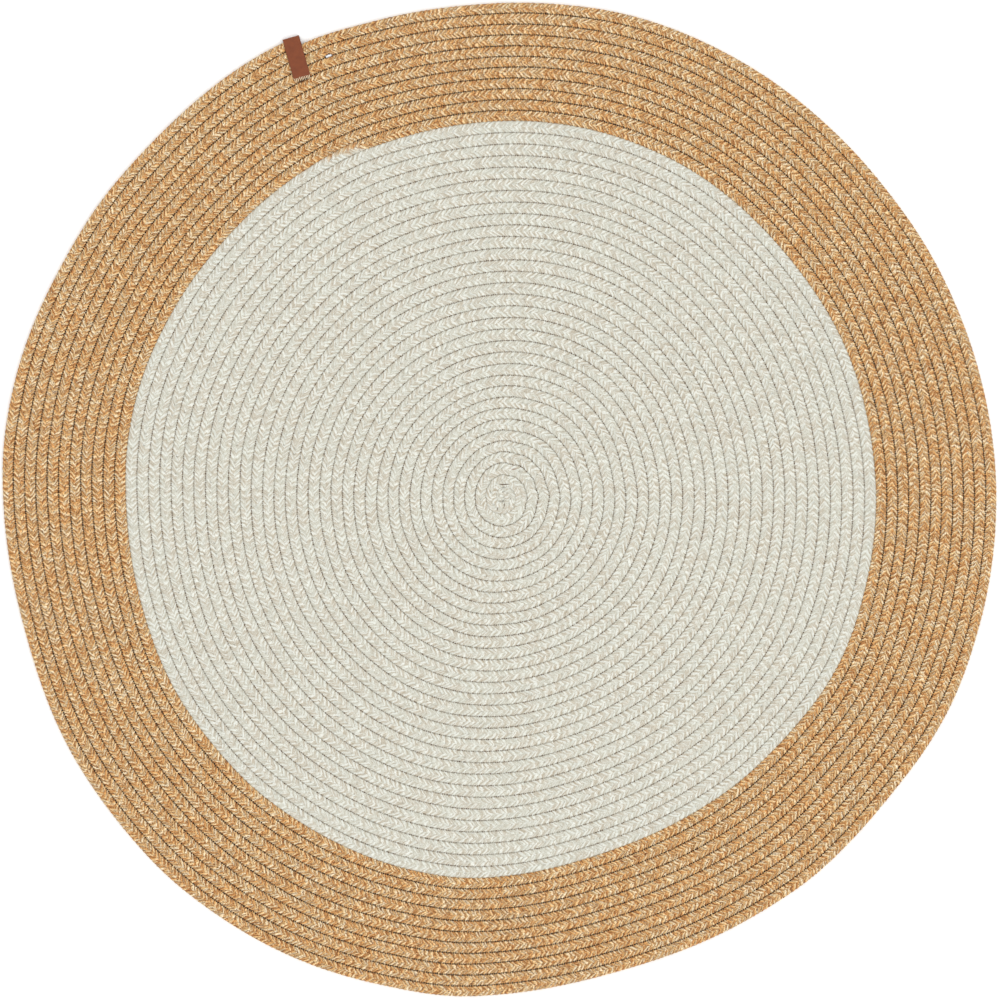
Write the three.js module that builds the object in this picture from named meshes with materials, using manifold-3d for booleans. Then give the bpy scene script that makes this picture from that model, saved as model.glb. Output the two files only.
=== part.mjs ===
// A round braided rug. A cream braid is wound clockwise into a flat coil, a tan braid carries the coil on
// to the edge, and a leather tab is folded over the edge where the tan braid ends.
// Millimetres, +Z up, with the origin at the middle of the underside.
import * as THREE from "three";
import { mergeVertices } from "three/addons/utils/BufferGeometryUtils.js";
import Module from "manifold-3d";

// Braid: a flattened oval, so the sewn seams between turns lie below its crown
const creamPitch = 13.65;
const tanPitch = 13.25;
const crownHeight = 7;
const seamHeight = 4.4;
const pieceGap = 0.3;

// Coil: turns are counted outwards from where an even spiral has no radius
const startBearing = 44.6;
const coreTurns = 0.75;
const creamTurns = 32.81;
const tanTurns = 11;
const endSlant = 1.7;
const rungsPerTurn = 64;

// How far the coil lies outside an even spiral, one row for every 15 degrees counter-clockwise from +X.
// Each column holds at one number of turns, and the coil changes evenly from one column to the next.
const columnTurns = [0, 3, 11, creamTurns, creamTurns + tanTurns];
const unevenness = [
  { core: -0.5, middle: -4, joint: -3, edge: -3 },
  { core: -1, middle: -4, joint: -2, edge: -3.5 },
  { core: 0.5, middle: -1.5, joint: -0.5, edge: -3.5 },
  { core: 1, middle: 1, joint: 0.5, edge: -1.5 },
  { core: 2.5, middle: 1.5, joint: 5, edge: 3 },
  { core: 1.5, middle: 0.5, joint: 6.5, edge: 6.5 },
  { core: 3, middle: -1, joint: 4.5, edge: 1 },
  { core: 2, middle: -3.5, joint: 2.5, edge: 1 },
  { core: 1, middle: -6, joint: 0.5, edge: 2 },
  { core: -1, middle: -6.5, joint: -2.5, edge: -4 },
  { core: -2, middle: -6, joint: -2.5, edge: -4 },
  { core: -2.5, middle: -6.5, joint: -1, edge: 0 },
  { core: -2.5, middle: -6, joint: -4.5, edge: -1.5 },
  { core: -1.5, middle: -5, joint: -3.5, edge: -5 },
  { core: -0.5, middle: -3.5, joint: 1, edge: 1.5 },
  { core: 1, middle: -1.5, joint: 3, edge: 5 },
  { core: 1.5, middle: 0.5, joint: 5, edge: 8 },
  { core: 2, middle: 1, joint: 6.5, edge: 4.5 },
  { core: 2.5, middle: -2, joint: 0.5, edge: -2.5 },
  { core: 2, middle: -4, joint: -9, edge: -12.5 },
  { core: 2, middle: -6, joint: -10.5, edge: -11.5 },
  { core: 1, middle: -6, joint: -8, edge: -10.5 },
  { core: -0.5, middle: -5.5, joint: -2.5, edge: -5.5 },
  { core: -1.5, middle: -4.5, joint: -2.5, edge: -3.5 },
];

// Short bulges of the outer turns, outwards or inwards, with their reach at the edge. They grow evenly from
// their first turn to the edge, and flatten out where the braid's end tapers.
const bulges = [
  { bearing: 38, reach: -1 },
  { bearing: 88, reach: 1.2 },
  { bearing: 113, reach: 3 },
  { bearing: 144, reach: 1.2 },
  { bearing: 175, reach: 1.4 },
  { bearing: 228, reach: 1.3 },
  { bearing: 264, reach: 2.8 },
  { bearing: 309, reach: 1.8 },
  { bearing: 323, reach: -2 },
  { bearing: 336, reach: 1.4 },
];
const bulgeHalfWidth = 4.5;
const firstBulgedTurn = 20;
const taperTurns = 0.08;

// Leather tab: a strip folded round the edge, its two ends level
const tabLength = 52;
const tabWidth = 20.7;
const leatherThickness = 1.2;
const foldRadius = 2.5;
const foldSteps = 5;
const tabBearing = 114.8;
const tabReach = 610.8;
const tabTurn = -8.8;

const fullTurn = 360;
const turnsPerRung = (1 - endSlant / fullTurn) / rungsPerTurn;
const coreRung = Math.round(coreTurns / turnsPerRung);
const jointRung = Math.round(creamTurns / turnsPerRung);
const tailRung = Math.round((creamTurns + tanTurns) / turnsPerRung);

const closedCurve = (points) => new THREE.CatmullRomCurve3(points, true, "catmullrom");
const innerCurve = closedCurve(unevenness.map(({ core, middle }) => new THREE.Vector3(core, middle, 0)));
const outerCurve = closedCurve(unevenness.map(({ joint, edge }) => new THREE.Vector3(joint, edge, 0)));

const wasm = await Module();
wasm.setup();

// How far the coil lies outside an even spiral at a number of turns.
function unevenAt(turns, bearing) {
  const place = THREE.MathUtils.euclideanModulo(bearing / fullTurn, 1);
  const inner = innerCurve.getPoint(place);
  const outer = outerCurve.getPoint(place);
  const columns = [0, inner.x, inner.y, outer.x, outer.y];
  const found = columnTurns.findIndex((limit) => turns < limit);
  const next = found < 0 ? columns.length - 1 : found;
  const share = (turns - columnTurns[next - 1]) / (columnTurns[next] - columnTurns[next - 1]);
  return THREE.MathUtils.lerp(columns[next - 1], columns[next], share);
}

// How far the short bulges move the coil outwards at a number of turns.
function bulgeAt(turns, bearing) {
  const lastTurn = creamTurns + tanTurns;
  const growth = THREE.MathUtils.clamp((turns - firstBulgedTurn) / (lastTurn - firstBulgedTurn), 0, 1);
  const taper = THREE.MathUtils.clamp((lastTurn + 1 - turns) / taperTurns, 0, 1);
  const reaches = bulges.map((bulge) => {
    const away = THREE.MathUtils.euclideanModulo(bearing - bulge.bearing + 180, fullTurn) - 180;
    return bulge.reach * 0.5 ** ((away / bulgeHalfWidth) ** 2);
  });
  return growth * taper * reaches.reduce((sum, reach) => sum + reach, 0);
}

// A point of the spiral, a number of turns out from its start, moved outwards by shift.
function spiralPoint(turns, shift, height) {
  const bearing = startBearing - fullTurn * turns;
  const even = creamPitch * Math.min(turns, creamTurns) + tanPitch * Math.max(0, turns - creamTurns);
  const radius = even + unevenAt(turns, bearing) + bulgeAt(turns, bearing) + shift;
  const angle = THREE.MathUtils.degToRad(bearing);
  return new THREE.Vector3(radius * Math.cos(angle), radius * Math.sin(angle), height);
}

// The two lines that shape each turn: the seam on its inner side and the crown along its middle.
function seamPoint(rung, shift) {
  return spiralPoint(rung * turnsPerRung, shift, seamHeight);
}

function crownPoint(rung, shift) {
  const crown = seamPoint(rung, shift).lerp(seamPoint(rung + rungsPerTurn, shift), 0.5);
  return crown.setZ(crownHeight);
}

// A list of points and triangles that becomes a geometry.
class Mesher {
  points = [];
  triangles = [];

  point(position) {
    return this.points.push(position) - 1;
  }

  triangle(a, b, c) {
    this.triangles.push(a, b, c);
  }

  quad(a, b, c, d) {
    this.triangle(a, b, c);
    this.triangle(a, c, d);
  }

  geometry() {
    const geometry = new THREE.BufferGeometry().setFromPoints(this.points);
    geometry.setIndex(this.triangles);
    geometry.computeVertexNormals();
    return geometry;
  }
}

// The ribbed top of a coil between two rungs. It gives back the mesh and the closed loops of points
// along its inner and outer sides, clockwise from above. Each loop ends with the braid's slanted end.
function ribbedTop(firstRung, lastRung, insideShift, outsideShift) {
  const mesh = new Mesher();
  const seams = [];
  const crowns = [];
  for (let rung = firstRung; rung <= lastRung + rungsPerTurn; rung += 1) {
    const inside = rung <= firstRung + rungsPerTurn ? insideShift : 0;
    const outside = rung >= lastRung ? outsideShift : 0;
    seams[rung] = mesh.point(seamPoint(rung, inside + outside));
  }
  for (let rung = firstRung; rung <= lastRung; rung += 1) {
    const inside = rung === firstRung ? insideShift : 0;
    const outside = rung === lastRung ? outsideShift : 0;
    crowns[rung] = mesh.point(crownPoint(rung, inside + outside));
  }
  for (let rung = firstRung; rung < lastRung; rung += 1) {
    const outer = rung + rungsPerTurn;
    mesh.quad(seams[rung], seams[rung + 1], crowns[rung + 1], crowns[rung]);
    mesh.quad(crowns[rung], crowns[rung + 1], seams[outer + 1], seams[outer]);
  }
  const loop = (rung) => [...seams.slice(rung, rung + rungsPerTurn + 1), crowns[rung]];
  return { mesh, innerLoop: loop(firstRung), outerLoop: loop(lastRung) };
}

// The neighbouring pairs of a closed loop.
function pairs(loop) {
  return loop.map((here, index) => [here, loop[(index + 1) % loop.length]]);
}

// Drops a loop of top points to the underside and walls it in, facing away from or towards the middle.
function addWall(mesh, loop, facingOut) {
  const foot = loop.map((top) => mesh.point(mesh.points[top].clone().setZ(0)));
  const footPairs = pairs(foot);
  pairs(loop).forEach(([a, b], index) => {
    const [footA, footB] = footPairs[index];
    if (facingOut) mesh.quad(a, b, footB, footA);
    else mesh.quad(b, a, footA, footB);
  });
  return foot;
}

function toSolid(geometry) {
  const bare = new THREE.BufferGeometry();
  bare.setAttribute("position", geometry.getAttribute("position"));
  bare.setIndex(geometry.getIndex());
  const merged = mergeVertices(bare, 1e-4);
  const mesh = new wasm.Mesh({
    numProp: 3,
    vertProperties: new Float32Array(merged.getAttribute("position").array),
    triVerts: new Uint32Array(merged.getIndex().array),
  });
  return new wasm.Manifold(mesh);
}

function toGeometry(solid) {
  const { vertProperties, triVerts } = solid.getMesh();
  const geometry = new THREE.BufferGeometry();
  geometry.setAttribute("position", new THREE.BufferAttribute(vertProperties, 3));
  geometry.setIndex(new THREE.BufferAttribute(triVerts, 1));
  geometry.computeVertexNormals();
  return geometry;
}

// Cream disc: the turns from the core to the joint, closed over the core and flat below.
function creamGeometry() {
  const { mesh, innerLoop, outerLoop } = ribbedTop(coreRung, jointRung, 0, -pieceGap / 2);
  const coreTop = mesh.point(new THREE.Vector3(0, 0, crownHeight));
  pairs(innerLoop).forEach(([a, b]) => mesh.triangle(coreTop, b, a));
  const foot = addWall(mesh, outerLoop, true);
  const coreFoot = mesh.point(new THREE.Vector3(0, 0, 0));
  pairs(foot).forEach(([a, b]) => mesh.triangle(coreFoot, a, b));
  return mesh.geometry();
}

// Tan ring: the turns from the joint to the edge, with a shallow seat below for the tab's lower half.
function tanGeometry(tabPlace) {
  const { mesh, innerLoop, outerLoop } = ribbedTop(jointRung, tailRung, pieceGap / 2, 0);
  const innerFoot = pairs(addWall(mesh, innerLoop, false));
  const outerFoot = pairs(addWall(mesh, outerLoop, true));
  innerFoot.forEach(([a, b], index) => {
    const [outerA, outerB] = outerFoot[index];
    mesh.quad(a, outerA, outerB, b);
  });
  const seatDepth = leatherThickness + pieceGap;
  const seat = new THREE.BoxGeometry(tabLength + 2 * pieceGap, tabWidth + 2 * pieceGap, 2 * seatDepth);
  seat.translate(-tabLength / 2, 0, 0);
  seat.applyMatrix4(tabPlace);
  return toGeometry(toSolid(mesh.geometry()).subtract(toSolid(seat)));
}

// Tab: its side view is a U lying on its side, drawn with x outwards and y up, and given its width.
function tabGeometry() {
  const inner = foldRadius - leatherThickness;
  const top = crownHeight + pieceGap + leatherThickness;
  const foldX = -foldRadius;
  const side = new THREE.Shape();
  side.moveTo(-tabLength, 0);
  side.lineTo(foldX, 0);
  side.absarc(foldX, foldRadius, foldRadius, -Math.PI / 2, 0, false);
  side.absarc(foldX, top - foldRadius, foldRadius, 0, Math.PI / 2, false);
  side.lineTo(-tabLength, top);
  side.lineTo(-tabLength, top - leatherThickness);
  side.absarc(foldX, top - foldRadius, inner, Math.PI / 2, 0, true);
  side.absarc(foldX, foldRadius, inner, 0, -Math.PI / 2, true);
  side.lineTo(-tabLength, leatherThickness);
  const geometry = new THREE.ExtrudeGeometry(side, {
    depth: tabWidth,
    bevelEnabled: false,
    curveSegments: foldSteps,
  });
  geometry.rotateX(Math.PI / 2);
  geometry.translate(0, tabWidth / 2, 0);
  return geometry;
}

// The middle of the tab's folded end, with x pointing outwards along the tab.
function tabMatrix() {
  const bearing = THREE.MathUtils.degToRad(tabBearing);
  const turn = THREE.MathUtils.degToRad(tabBearing + tabTurn);
  const place = new THREE.Matrix4().makeRotationZ(turn);
  return place.setPosition(tabReach * Math.cos(bearing), tabReach * Math.sin(bearing), 0);
}

function named(name, geometry, material) {
  const mesh = new THREE.Mesh(geometry, material);
  mesh.name = name;
  return mesh;
}

const creamYarn = new THREE.MeshStandardMaterial({ color: 0xe1e1d5, roughness: 0.95, metalness: 0 });
const tanYarn = new THREE.MeshStandardMaterial({ color: 0xdab077, roughness: 0.95, metalness: 0 });
const leather = new THREE.MeshStandardMaterial({ color: 0x985238, roughness: 0.6, metalness: 0 });

const tab = named("edge_tab", tabGeometry(), leather);
tab.applyMatrix4(tabMatrix());

const coil = new THREE.Group();
coil.add(
  named("centre_coil", creamGeometry(), creamYarn),
  named("border_coil", tanGeometry(tabMatrix()), tanYarn),
  tab,
);
const middle = new THREE.Box3().setFromObject(coil, true).getCenter(new THREE.Vector3());
coil.position.set(-middle.x, -middle.y, 0);

const rug = new THREE.Group();
rug.add(coil);

export default rug;
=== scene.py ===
import math

import bpy
import numpy as np
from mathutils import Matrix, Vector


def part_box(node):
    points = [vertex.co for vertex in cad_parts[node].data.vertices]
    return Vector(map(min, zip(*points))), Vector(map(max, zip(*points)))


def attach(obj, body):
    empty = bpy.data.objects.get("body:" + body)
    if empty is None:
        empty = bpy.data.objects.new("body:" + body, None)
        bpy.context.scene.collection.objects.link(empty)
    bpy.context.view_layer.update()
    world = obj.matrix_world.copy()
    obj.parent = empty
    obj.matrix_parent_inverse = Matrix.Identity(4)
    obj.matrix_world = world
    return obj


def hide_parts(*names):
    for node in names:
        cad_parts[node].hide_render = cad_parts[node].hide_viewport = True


# A round braided rug: two braids wound into one flat coil, with a folded leather tab at the edge.
# Metres, +Z up. Bearings are in degrees counter-clockwise from +X, about the middle of the coil.
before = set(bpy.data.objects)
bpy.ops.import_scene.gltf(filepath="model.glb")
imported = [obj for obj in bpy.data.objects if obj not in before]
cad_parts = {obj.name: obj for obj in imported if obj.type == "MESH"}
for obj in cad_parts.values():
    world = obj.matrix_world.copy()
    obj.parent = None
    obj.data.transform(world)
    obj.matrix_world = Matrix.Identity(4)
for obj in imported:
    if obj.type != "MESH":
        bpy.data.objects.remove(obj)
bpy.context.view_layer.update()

MM = 0.001
FULL_TURN = 360.0

# Coil
CREAM_WIDTH = 13.65 * MM
TAN_WIDTH = 13.25 * MM
CROWN_HEIGHT = 7.0 * MM
SEAM_HEIGHT = 5.5 * MM
START_BEARING = 44.6
CREAM_TURNS = 32.81
TAN_TURNS = 11.0
CORE_TURN = -0.85
JOINT_TURN = 32.8103
TAIL_TURN = 43.805
CORE_HOLE = 0.4 * MM
LENGTH_STEPS = 60000
TURNS_PAST_TAIL = 0.1

# How far the coil lies outside an even spiral, in millimetres: one row for every 15 degrees of bearing,
# one column for each of these numbers of turns
COLUMN_TURNS = (0.0, 3.0, 11.0, CREAM_TURNS, CREAM_TURNS + TAN_TURNS)
UNEVENNESS = np.array([  # none at the start, core, middle, joint, edge
    (0, -0.5, -4, -3, -3), (0, -1, -4, -2, -3.5), (0, 0.5, -1.5, -0.5, -3.5),
    (0, 1, 1, 0.5, -1.5), (0, 2.5, 1.5, 5, 3), (0, 1.5, 0.5, 6.5, 6.5),
    (0, 3, -1, 4.5, 1), (0, 2, -3.5, 2.5, 1), (0, 1, -6, 0.5, 2),
    (0, -1, -6.5, -2.5, -4), (0, -2, -6, -2.5, -4), (0, -2.5, -6.5, -1, 0),
    (0, -2.5, -6, -4.5, -1.5), (0, -1.5, -5, -3.5, -5), (0, -0.5, -3.5, 1, 1.5),
    (0, 1, -1.5, 3, 5), (0, 1.5, 0.5, 5, 8), (0, 2, 1, 6.5, 4.5),
    (0, 2.5, -2, 0.5, -2.5), (0, 2, -4, -9, -12.5), (0, 2, -6, -10.5, -11.5),
    (0, 1, -6, -8, -10.5), (0, -0.5, -5.5, -2.5, -5.5), (0, -1.5, -4.5, -2.5, -3.5),
]) * MM

# Short bulges of the outer turns, with their reach at the edge
BULGES = [  # bearing, reach in millimetres
    (38, -1.0), (88, 1.2), (113, 3.0), (144, 1.2), (175, 1.4),
    (228, 1.3), (264, 2.8), (309, 1.8), (323, -2.0), (336, 1.4),
]
BULGE_HALF_WIDTH = 4.5
FIRST_BULGED_TURN = 20.0
TAPER_TURNS = 0.08

# Braid: each pitch holds one strand on either side, slanting back from the middle
CREAM_PITCH = 6.75 * MM
TAN_PITCH = 6.0 * MM
ROWS_PER_PITCH = 4
SLANT = 1.0
STRAND_RELIEF = 0.22 * MM
EDGE_RELIEF = 0.25 * MM
STRAND_RISE_SPREAD = 0.35
EDGE_SHARE = 0.6
MIDDLE_STAND = 0.5
OVAL_POWER = 3.2
MIDDLE_ZIGZAG = 0.12
TOP_SHARES = np.array([-1.0, -0.74, -0.38, 0.0, 0.38, 0.74, 1.0])
FOOT_SHARE = 0.86
SEAM_OVERLAP = 0.1 * MM
CORE_GROOVE = 0.05
CORE_GROOVE_START = 1.0
CORE_GROOVE_TURNS = 1.5
RIM_INSET = 0.5 * MM
PIECES_PER_BRAID = 3

# Small opening between two turns near the tab
OPENING_TURN = 41.814
OPENING_OUTWARD = 3.0 * MM
OPENING_INWARD = 0.8 * MM
OPENING_LENGTH = 4.5 * MM

# Splice of the two braids
SPLICE_MIDDLE = -17 * MM
SPLICE_SLANT = 27 * MM
SPLICE_SPREAD = 75 * MM
# How strong the seam's painted shade is where the two braids change
JOINT_SEAM = 0.35

# Tab
TAB_LENGTH = 52 * MM
TAB_WIDTH = 20.7 * MM
LEATHER = 1.2 * MM
FOLD_RADIUS = 2.5 * MM
TAB_BEARING = 114.8
TAB_REACH = 610.8 * MM
TAB_TURN = -8.8
TAB_TOP = 8.5 * MM

# The tab's place, and the middle of the coil found from the tab's box
TAB_ANGLE = math.radians(TAB_BEARING + TAB_TURN)
TAB_OUT = np.array([math.cos(TAB_ANGLE), math.sin(TAB_ANGLE)])
TAB_SIDE = np.array([-math.sin(TAB_ANGLE), math.cos(TAB_ANGLE)])
TAB_AIM = np.array([math.cos(math.radians(TAB_BEARING)), math.sin(math.radians(TAB_BEARING))])
TAB_LOW, TAB_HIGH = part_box("edge_tab")
TAB_FOLD = (np.array(TAB_LOW[:2]) + np.array(TAB_HIGH[:2])) / 2 + TAB_LENGTH / 2 * TAB_OUT
COIL_MIDDLE = TAB_FOLD - TAB_REACH * TAB_AIM

# View
VIEW_MIDDLE = COIL_MIDDLE + np.array([-3.86, -3.01]) * MM
VIEW_WIDTH = 1.205
VIEW_HEIGHT = 6.0
SENSOR = 36.0


# Spiral

def unevenness_at(bearing):
    """The columns of the unevenness table at each bearing, on smooth closed curves."""
    place = np.mod(bearing / FULL_TURN, 1.0) * len(UNEVENNESS)
    row = np.floor(place).astype(int)
    w = (place - row)[..., None]
    before, here, after, beyond = (UNEVENNESS[(row + k) % len(UNEVENNESS)] for k in (-1, 0, 1, 2))
    leave = (after - before) / 2
    arrive = (beyond - here) / 2
    cubic = 2 * here - 2 * after + leave + arrive
    square = -3 * here + 3 * after - 2 * leave - arrive
    return ((cubic * w + square) * w + leave) * w + here


def bulge_at(turns):
    """How far the short bulges move the coil outwards."""
    bearing = START_BEARING - FULL_TURN * turns
    last = CREAM_TURNS + TAN_TURNS
    growth = np.clip((turns - FIRST_BULGED_TURN) / (last - FIRST_BULGED_TURN), 0.0, 1.0)
    taper = np.clip((last + 1 - turns) / TAPER_TURNS, 0.0, 1.0)
    total = np.zeros_like(turns)
    for middle, reach in BULGES:
        away = np.mod(bearing - middle + FULL_TURN / 2, FULL_TURN) - FULL_TURN / 2
        total += reach * MM * 0.5 ** ((away / BULGE_HALF_WIDTH) ** 2)
    return growth * taper * total


def wave_sum(seed, slowest, fastest, count):
    """A repeatable smooth random function of one variable, with values of about -1 to 1."""
    random = np.random.default_rng(seed)
    rates = random.uniform(slowest, fastest, count)
    phases = random.uniform(0, 2 * math.pi, count)
    scale = 1 / math.sqrt(count)

    def value(x):
        x = np.asarray(x, float)
        return sum(np.sin(2 * math.pi * rate * x + phase) for rate, phase in zip(rates, phases)) * scale

    return value


seam_wander = wave_sum(seed=3, slowest=2.0, fastest=23.0, count=12)
pitch_wander = wave_sum(seed=5, slowest=4.0, fastest=18.0, count=10)
slant_wander = wave_sum(seed=7, slowest=3.0, fastest=15.0, count=8)
SEAM_WANDER = 0.28 * MM
PITCH_WANDER = 0.9 * MM
SLANT_WANDER = 0.12


def seam_radius(turns):
    """How far the seam on a turn's inner side lies from the middle of the coil."""
    turns = np.asarray(turns, float)
    even = CREAM_WIDTH * np.minimum(turns, CREAM_TURNS) + TAN_WIDTH * np.maximum(turns - CREAM_TURNS, 0.0)
    shape = unevenness_at(START_BEARING - FULL_TURN * turns)
    last = len(COLUMN_TURNS) - 2
    uneven = np.zeros_like(turns)
    for column, (low, high) in enumerate(zip(COLUMN_TURNS, COLUMN_TURNS[1:])):
        within = (turns >= low) & ((turns < high) | (column == last))
        share = (turns - low) / (high - low)
        between = (1 - share) * shape[..., column] + share * shape[..., column + 1]
        uneven = np.where(within, between, uneven)
    wander = SEAM_WANDER * seam_wander(turns) * np.clip(turns, 0.0, 1.0)
    inset = np.where(turns > TAIL_TURN, RIM_INSET, 0.0)
    return np.maximum(even + uneven + bulge_at(turns) + wander - inset, CORE_HOLE)


def opening(turns):
    """How far a seam is pulled open, as a share of its full opening."""
    away = (turns - OPENING_TURN) * 2 * math.pi * TAN_WIDTH * OPENING_TURN / OPENING_LENGTH
    return np.exp(-away ** 4)


def length_table():
    """Turns and the length of braid wound up to them, along the braid's middle."""
    turns = np.linspace(CORE_TURN, TAIL_TURN + TURNS_PAST_TAIL, LENGTH_STEPS + 1)
    middle = (seam_radius(turns) + seam_radius(turns + 1)) / 2
    steps = 2 * math.pi * (middle[1:] + middle[:-1]) / 2 * np.diff(turns)
    return turns, np.concatenate([[0.0], np.cumsum(steps)])


TURNS, LENGTHS = length_table()


def turns_at(length):
    return np.interp(length, LENGTHS, TURNS)


def length_at(turns):
    return float(np.interp(turns, TURNS, LENGTHS))


def on_coil(length, share, height, spread=0.0):
    """Points on the coil: a length along it, a share across the braid from -1 to 1, and a height."""
    turns = turns_at(length)
    inner = seam_radius(turns) + OPENING_OUTWARD * opening(turns) - SEAM_OVERLAP
    outer = seam_radius(turns + 1) - OPENING_INWARD * opening(turns + 1) + SEAM_OVERLAP
    radius = inner + (share + 1) / 2 * (outer - inner) + spread
    angle = np.radians(START_BEARING - FULL_TURN * turns)
    x = COIL_MIDDLE[0] + radius * np.cos(angle)
    y = COIL_MIDDLE[1] + radius * np.sin(angle)
    return np.stack([x, y, np.broadcast_to(height, x.shape)], axis=-1)


def from_tab(out, side, height):
    """Points given outwards along the tab from its fold, sideways from its middle, and by height."""
    out, side, height = np.broadcast_arrays(out, side, height)
    flat = TAB_FOLD + out[..., None] * TAB_OUT + side[..., None] * TAB_SIDE
    return np.concatenate([flat, height[..., None]], axis=-1)


def under_tab(points, margin):
    """Which points lie within the tab's outline, widened by a margin."""
    away = points[..., :2] - TAB_FOLD
    out, side = away @ TAB_OUT, away @ TAB_SIDE
    return (out > -TAB_LENGTH - margin) & (out < margin) & (np.abs(side) < TAB_WIDTH / 2 + margin)


# Meshes

def make_object(name, points, triangles, material):
    """A smooth shaded object of triangles that rides with the rug."""
    mesh = bpy.data.meshes.new(name)
    mesh.vertices.add(len(points))
    mesh.vertices.foreach_set("co", np.ascontiguousarray(points, np.float32).ravel())
    mesh.loops.add(3 * len(triangles))
    mesh.loops.foreach_set("vertex_index", np.ascontiguousarray(triangles, np.int32).ravel())
    mesh.polygons.add(len(triangles))
    mesh.polygons.foreach_set("loop_start", np.arange(0, 3 * len(triangles), 3, dtype=np.int32))
    mesh.update(calc_edges=True)
    mesh.shade_smooth()
    mesh.materials.append(material)
    made = bpy.data.objects.new(name, mesh)
    bpy.context.scene.collection.objects.link(made)
    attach(made, "root")
    return made


def end_caps(rings, columns):
    """Fans of triangles that close the two ends of a tube of rings of points."""
    fan = np.arange(1, columns - 1)
    start = np.stack([0 * fan, fan, fan + 1], axis=1)
    end = (rings - 1) * columns + np.stack([0 * fan, fan + 1, fan], axis=1)
    return np.concatenate([start, end])


def tube_triangles(rings, columns):
    """Triangles of a closed tube of rings of points."""
    ring = np.arange(rings - 1)[:, None] * columns
    column = np.arange(columns)[None, :]
    following = (column + 1) % columns
    a, b, c, d = ring + column, ring + following, ring + columns + following, ring + columns + column
    walls = [np.stack(corners, axis=-1).reshape(-1, 3) for corners in ((a, c, b), (a, d, c))]
    return np.concatenate([*walls, end_caps(rings, columns)])


def add_uv(mesh, name, corners):
    """A UV map from one pair for each corner of each triangle."""
    layer = mesh.uv_layers.new(name=name)
    layer.uv.foreach_set("vector", np.ascontiguousarray(corners, np.float32).ravel())
    return layer


def add_shade(mesh, name, values):
    """A named number at each vertex, for the materials to read."""
    layer = mesh.attributes.new(name, "FLOAT", "POINT")
    layer.data.foreach_set("value", np.ascontiguousarray(values, np.float32).ravel())


def mark_sharp(mesh, triangles_from):
    """Makes the edges of the last triangles sharp, so an end doesn't bend the shading beside it."""
    edges = np.zeros(len(mesh.edges), bool)
    corner_edges = np.zeros(len(mesh.loops), np.int32)
    mesh.loops.foreach_get("edge_index", corner_edges)
    edges[corner_edges[3 * triangles_from:]] = True
    layer = mesh.attributes.new("sharp_edge", "BOOLEAN", "EDGE")
    layer.data.foreach_set("value", edges)


# Braid

def groove_depth(turns):
    """How deep the grooves are: shallow where the coil is wound tight in the core."""
    return np.clip((turns - CORE_GROOVE_START) / CORE_GROOVE_TURNS, CORE_GROOVE, 1.0)


class Braid:
    """Rows of points along one braid, four rows to a pitch. Each row runs along its strands."""

    def __init__(self, start, end, pitch, width, seed):
        self.width = width
        self.pitches = round((end - start) / pitch)
        self.start = start
        self.pitch = (end - start) / self.pitches
        random = np.random.default_rng(seed)
        self.strand_rise = random.normal(0, STRAND_RISE_SPREAD, (2, self.pitches + 2))

    def row_length(self, row, share):
        """The length along the coil where a row meets a share of the braid's width."""
        middle = self.start + row * self.pitch / ROWS_PER_PITCH
        turns = turns_at(middle)
        half_width = (seam_radius(turns + 1) - seam_radius(turns)) / 2
        slant = SLANT * (1 + SLANT_WANDER * slant_wander(middle))
        return middle + slant * np.abs(share) * half_width + PITCH_WANDER * pitch_wander(middle)

    def relief(self, row, side):
        """How high the strand on one side stands in a row, from -1 between strands to about 1 on one."""
        phase = row / ROWS_PER_PITCH + 0.5 * side
        strand = np.clip(np.floor(phase).astype(int), 0, self.pitches + 1)
        wave = -np.cos(2 * math.pi * phase)
        return np.where(wave > 0, wave * (1 + self.strand_rise[side, strand]), wave)

    def top_points(self, row):
        """The seven points of each row across the braid's upper face."""
        row_turns = turns_at(self.start + row * self.pitch / ROWS_PER_PITCH)
        columns = []
        for share in TOP_SHARES:
            side = 1 if share > 0 else 0
            stand = self.relief(row, side)
            if share == 0:
                stand = MIDDLE_STAND + 0 * stand
                across = MIDDLE_ZIGZAG * self.relief(row, 0)
            else:
                across = share + 0 * stand
            edge = abs(share) == 1
            oval = math.sqrt(max(0.0, 1 - abs(share) ** OVAL_POWER))
            height = CROWN_HEIGHT - (CROWN_HEIGHT - SEAM_HEIGHT) * (1 - oval) * groove_depth(row_turns)
            height = height + stand * STRAND_RELIEF * (EDGE_SHARE if edge else 1.0)
            spread = stand * EDGE_RELIEF * np.sign(share) * groove_depth(row_turns) if edge else 0.0
            columns.append(on_coil(self.row_length(row, share), across, height, spread))
        return np.stack(columns, axis=1)

    def foot_points(self, row):
        """The three points of each row along the underside: outer, middle and inner."""
        columns = [on_coil(self.row_length(row, share), share + 0.0 * row, 0.0)
                   for share in (FOOT_SHARE, 0.0, -FOOT_SHARE)]
        return np.stack(columns, axis=1)


# Ring of points round the braid: the pattern's share at each, and its place across a bake strip
TOP_COLUMNS = len(TOP_SHARES)
RING_COLUMNS = TOP_COLUMNS + 3
FOOT_PATTERN = 1.3
RING_SHARES = np.array([*TOP_SHARES, FOOT_PATTERN, 0.0, -FOOT_PATTERN])
RING_PLACES = np.array([0.0, 0.12, 0.24, 0.36, 0.48, 0.60, 0.72, 0.81, 0.865, 0.92, 1.0])

# Heights of the braid's underside and face where the tab's two halves press on it
TAB_SEAT = 1.5 * MM
TAB_PRESS = 7.1 * MM
TAB_MARGIN = 2.2 * MM


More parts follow.
